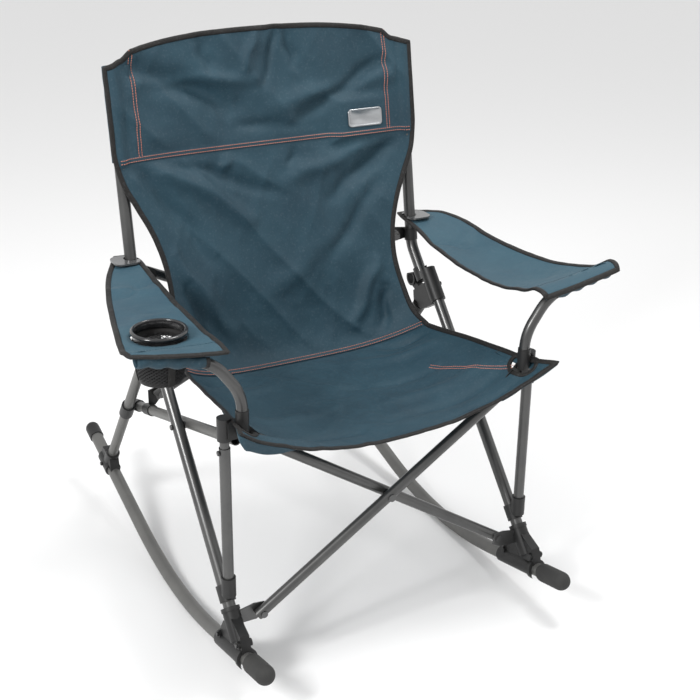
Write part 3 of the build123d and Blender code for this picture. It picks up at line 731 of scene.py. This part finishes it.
# ---- arm rests -----------------------------------------------------------------------------
# row: y, inner x, inner z, outer x, outer z, extra sag in the middle
RIGHT_ARM_ROWS = [
    (0.146, 0.286, 0.619, 0.330, 0.619, 0.0), (0.118, 0.280, 0.618, 0.368, 0.619, 0.0),
    (0.080, 0.281, 0.611, 0.386, 0.617, 0.002), (-0.010, 0.284, 0.590, 0.400, 0.604, 0.008),
    (-0.110, 0.287, 0.577, 0.419, 0.594, 0.012), (-0.210, 0.290, 0.580, 0.440, 0.597, 0.010),
    (-0.280, 0.292, 0.594, 0.452, 0.614, 0.004), (-0.316, 0.293, 0.607, 0.459, 0.634, -0.002),
    (-0.336, 0.294, 0.604, 0.455, 0.632, -0.002), (-0.344, 0.296, 0.596, 0.452, 0.624, -0.002),
]
LEFT_ARM_ROWS = [
    (0.146, 0.286, 0.619, 0.318, 0.619, 0.0), (0.118, 0.280, 0.618, 0.332, 0.617, 0.0),
    (0.080, 0.281, 0.616, 0.352, 0.612, 0.0), (-0.010, 0.284, 0.610, 0.384, 0.606, 0.002),
    (-0.110, 0.288, 0.606, 0.410, 0.606, 0.001), (-0.170, 0.290, 0.6065, 0.425, 0.609, -0.001),
    (-0.225, 0.291, 0.607, 0.438, 0.611, -0.001), (-0.278, 0.292, 0.608, 0.449, 0.616, 0.0),
    (-0.316, 0.293, 0.610, 0.459, 0.634, -0.001), (-0.334, 0.294, 0.609, 0.455, 0.632, 0.0),
]


def arm_grid(rows, side):
    """Arm rest cloth from the back pole to its front edge, over the arm tube."""
    across = 13
    control = []
    for y, xi, zi, xo, zo, sag in rows:
        t = np.linspace(0, 1, across)
        bow = 0.006 * np.sin(np.pi * t) if y < -0.30 else 0
        x = xi + (xo - xi) * t
        z = zi + (zo - zi) * t - sag * np.sin(np.pi * t)
        control.append(np.stack([side * x, y - bow + 0 * t, z], axis=1))
    long_way = catmull(np.array(control), 150)
    grid = catmull(long_way.transpose(1, 0, 2), 56).transpose(1, 0, 2)
    return grid if side > 0 else grid[:, ::-1]


def tube_pocket(word, side, body):
    """Sleeve of cloth sewn under the arm rest, holding the arm tube's end; bound at its mouth."""
    low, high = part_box(f"{word}_arm_tube")
    tip = Vector((side * max(abs(low.x), abs(high.x)), (low.y + high.y) / 2, high.z - 0.0095))
    foot = Vector((side * 0.330, tip.y, tip.z - 0.0215))
    line = [foot + (tip - foot) * (i / 26 * 1.10) for i in range(27)]
    grid = np.zeros((27, 23, 3))
    for i, p in enumerate(line):
        for j in range(23):
            a = math.radians(-25 - 290 * j / 22 + 90)
            r = 0.0125 + 0.0016 * math.sin(i * 0.9 + j * 0.3)
            grid[i, j] = (p.x, p.y + r * math.cos(a), p.z + r * math.sin(a))
    verts, faces = thick_sheet(grid, CLOTH_T)
    add_mesh(f"{word}_tube_pocket", verts, faces, SLING, body)
    mouth = grid[0]
    ups = mouth - mouth.mean(axis=0)
    verts, faces = swept(mouth, ups, rounded_section(0.0035, 0.0035, 0.0016))
    add_mesh(f"{word}_pocket_binding", verts, faces, BINDING, body)


def build_arm(word, side, rows):
    body = f"{word}_arm"
    grid = arm_grid(rows, side)
    folds = creases(grid[..., 0], grid[..., 1], [
        (side * 0.29, 0.02, side * 0.37, -0.03, 0.010, -0.005),
        (side * 0.30, -0.02, side * 0.39, 0.02, 0.012, 0.004),
        (side * 0.30, -0.26, side * 0.42, -0.24, 0.012, 0.003),
        (side * 0.31, -0.13, side * 0.40, -0.16, 0.018, 0.003)])
    ripples = folds + 0.0022 * soft_noise(grid, 0.06, 20 + side) + 0.0007 * soft_noise(grid, 0.02, 23 + side)
    fade = np.clip((grid[..., 1] + 0.325) / 0.02, 0.15, 1)
    if side < 0:
        out = np.hypot(grid[..., 0] - CUP.x, grid[..., 1] - CUP.y)
        fade = fade * np.clip((out - 0.048) / 0.015, 0, 1)
    grid = grid + grid_normals(grid) * (ripples * fade)[..., None]

    def hole(centres):
        away = np.hypot(centres[..., 0] - side * SIDE_X, centres[..., 1] - pole_y(0.618))
        cut = away < POLE_R + 0.0045
        if side < 0:
            cut |= np.hypot(centres[..., 0] - CUP.x, centres[..., 1] - CUP.y) < CUP_R + 0.0055
        return cut

    verts, faces = thick_sheet(grid, CLOTH_T, hole=hole)
    pad = add_mesh(f"{word}_arm_cloth", verts, faces, ARM, body)
    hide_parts(f"{word}_arm_pad")
    binding(f"{word}_arm_binding", grid, ("left", "last", "right", "first"), body, closed=True)
    hem = [(134.0, c) for c in np.linspace(3, 52, 60)]
    points, leans = sample_line(grid, grid_normals(grid), hem)
    verts, faces = dash_row(points, leans, 0.0004)
    add_mesh(f"{word}_hem_stitching", verts, faces, ARM, body)
    tube_pocket(word, side, body)


def ring_profile(name, profile, centre, material, body, steps=72):
    """Turned ring from a closed (radius, height) outline."""
    verts, faces = [], []
    k = len(profile)
    for i in range(steps):
        a = math.tau * i / steps
        verts += [(centre.x + r * math.cos(a), centre.y + r * math.sin(a), centre.z + h) for r, h in profile]
    for i in range(steps):
        j = (i + 1) % steps
        for m in range(k):
            q = (m + 1) % k
            faces.append((i * k + m, i * k + q, j * k + q, j * k + m))
    return add_mesh(name, verts, faces, material, body)


def build_cup_holder():
    """Glossy rim, black band, open net, three webbing straps and a round base, on the left arm."""
    rim = [(0.0400, -0.0150), (0.0400, -0.0020), (0.0408, 0.0000), (0.0425, 0.0006), (0.0450, -0.0004),
           (0.0462, -0.0020), (0.0464, -0.0038), (0.0455, -0.0048), (0.0430, -0.0048), (0.0425, -0.0150)]
    ring = ring_profile("cup_rim", rim, CUP, RIM, "left_arm")
    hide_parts("cup_ring")
    top, bottom = POCKET_HIGH.z, POCKET_LOW.z
    high, low = 0.0425, 0.0345

    def radius(z):
        share = (z - bottom) / (top - bottom)
        bulge = 0.002 * math.sin(math.pi * share)
        return low + (high - low) * share + bulge

    centre = Vector((CUP.x, CUP.y, 0))
    heights = ((0, top), (0, top - 0.013), (0.0012, top - 0.014), (0.0018, top - 0.007), (0.0012, top))
    band = [(radius(z) + t, z) for t, z in heights]
    ring_profile("cup_band", band, centre, BINDING, "left_arm")
    parts = []
    strands, steps, turns = 30, 26, 0.36
    z_high = top - 0.010
    for way in (-1, 1):
        for s in range(strands):
            line = []
            for i in range(steps + 1):
                t = i / steps
                z = bottom + 0.002 + (z_high - bottom) * t
                a = math.tau * (s / strands + way * turns * t)
                r = radius(z) + way * 0.00035
                line.append((centre.x + r * math.cos(a), centre.y + r * math.sin(a), z))
            outward = [(p[0] - centre.x, p[1] - centre.y, 0) for p in line]
            parts.append(swept(line, outward, [(0.00075, 0), (0, 0.0005), (-0.00075, 0), (0, -0.0005)]))
    verts, faces = merged(parts)
    net = add_mesh("cup_net", verts, faces, MESH, "left_arm")
    base = [(0.0006, bottom - 0.0006), (low * 0.8, bottom - 0.001), (low + 0.001, bottom + 0.001),
            (low + 0.0016, bottom + 0.014), (low + 0.0004, bottom + 0.014), (low - 0.0006, bottom + 0.002),
            (0.0006, bottom + 0.0008)]
    ring_profile("cup_base", base, centre, BINDING, "left_arm")
    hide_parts("cup_pocket")
    straps = []
    for angle in (35, 155, 275):
        a = math.radians(angle)
        line, outward = [], []
        for z in np.linspace(bottom + 0.001, top - 0.004, 18):
            r = radius(z) + 0.0014
            line.append((centre.x + r * math.cos(a), centre.y + r * math.sin(a), z))
            outward.append((math.cos(a), math.sin(a), 0))
        straps.append(swept(line, outward, rounded_section(0.0065, 0.0065, 0.0007)))
    verts, faces = merged(straps)
    add_mesh("cup_straps", verts, faces, BINDING, "left_arm")


# ---- badge ---------------------------------------------------------------------------------
def badge_ring(inset, height):
    """Rounded rectangle round the badge's middle, a distance in from its edge, proud of its back."""
    middle = (LABEL_LOW + LABEL_HIGH) / 2
    half_w, half_h = (LABEL_HIGH.x - LABEL_LOW.x) / 2 - inset, BADGE_H / 2 - inset
    corner = 0.007 - inset * 0.6
    up = Vector((0, math.sin(math.atan(POLE_LEAN)), math.cos(math.atan(POLE_LEAN))))
    out = Vector((0, -up.z, up.y))
    ring = []
    for sx, sz, start in ((1, 1, 0), (-1, 1, 90), (-1, -1, 180), (1, -1, 270)):
        for i in range(7):
            a = math.radians(start + 15 * i)
            x = sx * (half_w - corner) + corner * math.cos(a)
            z = sz * (half_h - corner) + corner * math.sin(a)
            ring.append(middle + Vector((x, 0, 0)) + up * z + out * (height - 0.001))
    return ring


def build_badge():
    """Plain metal plate with a raised, rounded rim and a flat blank middle."""
    layers = [(0, 0), (0, 0.0012), (0.0005, 0.0020), (0.0016, 0.0023), (0.0030, 0.0021), (0.0036, 0.0012)]
    verts, faces = [], []
    for inset, height in layers:
        verts += badge_ring(inset, height)
    n = 28
    for k in range(len(layers) - 1):
        for i in range(n):
            j = (i + 1) % n
            faces.append((k * n + i, k * n + j, (k + 1) * n + j, (k + 1) * n + i))
    faces.append(tuple(range(n - 1, -1, -1)))
    faces.append(tuple((len(layers) - 1) * n + i for i in range(n)))
    plate = add_mesh("badge", verts, faces, BADGE, "right_pole")
    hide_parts("label_plate")


# ---- stage ---------------------------------------------------------------------------------
def build_stage():
    floor_mesh = bpy.data.meshes.new("floor")
    size = 60.0
    corners = [(-size, -size, 0), (size, -size, 0), (size, size, 0), (-size, size, 0)]
    floor_mesh.from_pydata(corners, [], [(0, 1, 2, 3)])
    floor = bpy.data.objects.new("floor", floor_mesh)
    bpy.context.scene.collection.objects.link(floor)
    paper, _, _, shader = new_material("floor_paper")
    shader.inputs["Base Color"].default_value = (0.82, 0.82, 0.82, 1)
    shader.inputs["Roughness"].default_value = 0.9
    floor.data.materials.append(paper)
    world = bpy.data.worlds.new("studio")
    world.use_nodes = True
    world.node_tree.nodes["Background"].inputs["Color"].default_value = (1, 1, 1, 1)
    world.node_tree.nodes["Background"].inputs["Strength"].default_value = 0.88
    bpy.context.scene.world = world
    for name, at, size, power in (("key", (-2.4, -0.9, 2.1), 0.7, 60), ("fill", (2.6, -1.6, 1.6), 2.0, 6),
                                  ("top", (0.9, -0.2, 2.9), 0.8, 36)):
        light = bpy.data.lights.new(name, "AREA")
        light.size = size
        light.energy = power
        lamp = bpy.data.objects.new(name, light)
        lamp.location = at
        lamp.rotation_euler = (Vector((0, 0, 0.5)) - Vector(at)).to_track_quat("-Z", "Y").to_euler()
        bpy.context.scene.collection.objects.link(lamp)


def build_camera():
    """Long-lens view from the front and the cup-holder side, a little above the arm rests."""
    azimuth, elevation, distance = math.radians(-26.9), math.radians(22.55), 2.334
    target = Vector((0, -0.037, 0.479))
    away = Vector((math.sin(azimuth) * math.cos(elevation), -math.cos(azimuth) * math.cos(elevation),
                   math.sin(elevation)))
    data = bpy.data.cameras.new("camera")
    data.lens = 64.3
    data.shift_x = 0.0526
    data.shift_y = -0.0266
    camera = bpy.data.objects.new("camera", data)
    camera.location = target + away * distance
    camera.rotation_euler = (-away).to_track_quat("-Z", "Y").to_euler()
    bpy.context.scene.collection.objects.link(camera)
    bpy.context.scene.camera = camera
    bpy.context.scene.view_settings.view_transform = "Standard"


dress_frame()
build_back()
build_seat()
build_arm("left", -1, LEFT_ARM_ROWS)
build_arm("right", 1, RIGHT_ARM_ROWS)
build_cup_holder()
build_badge()
build_stage()
build_camera()
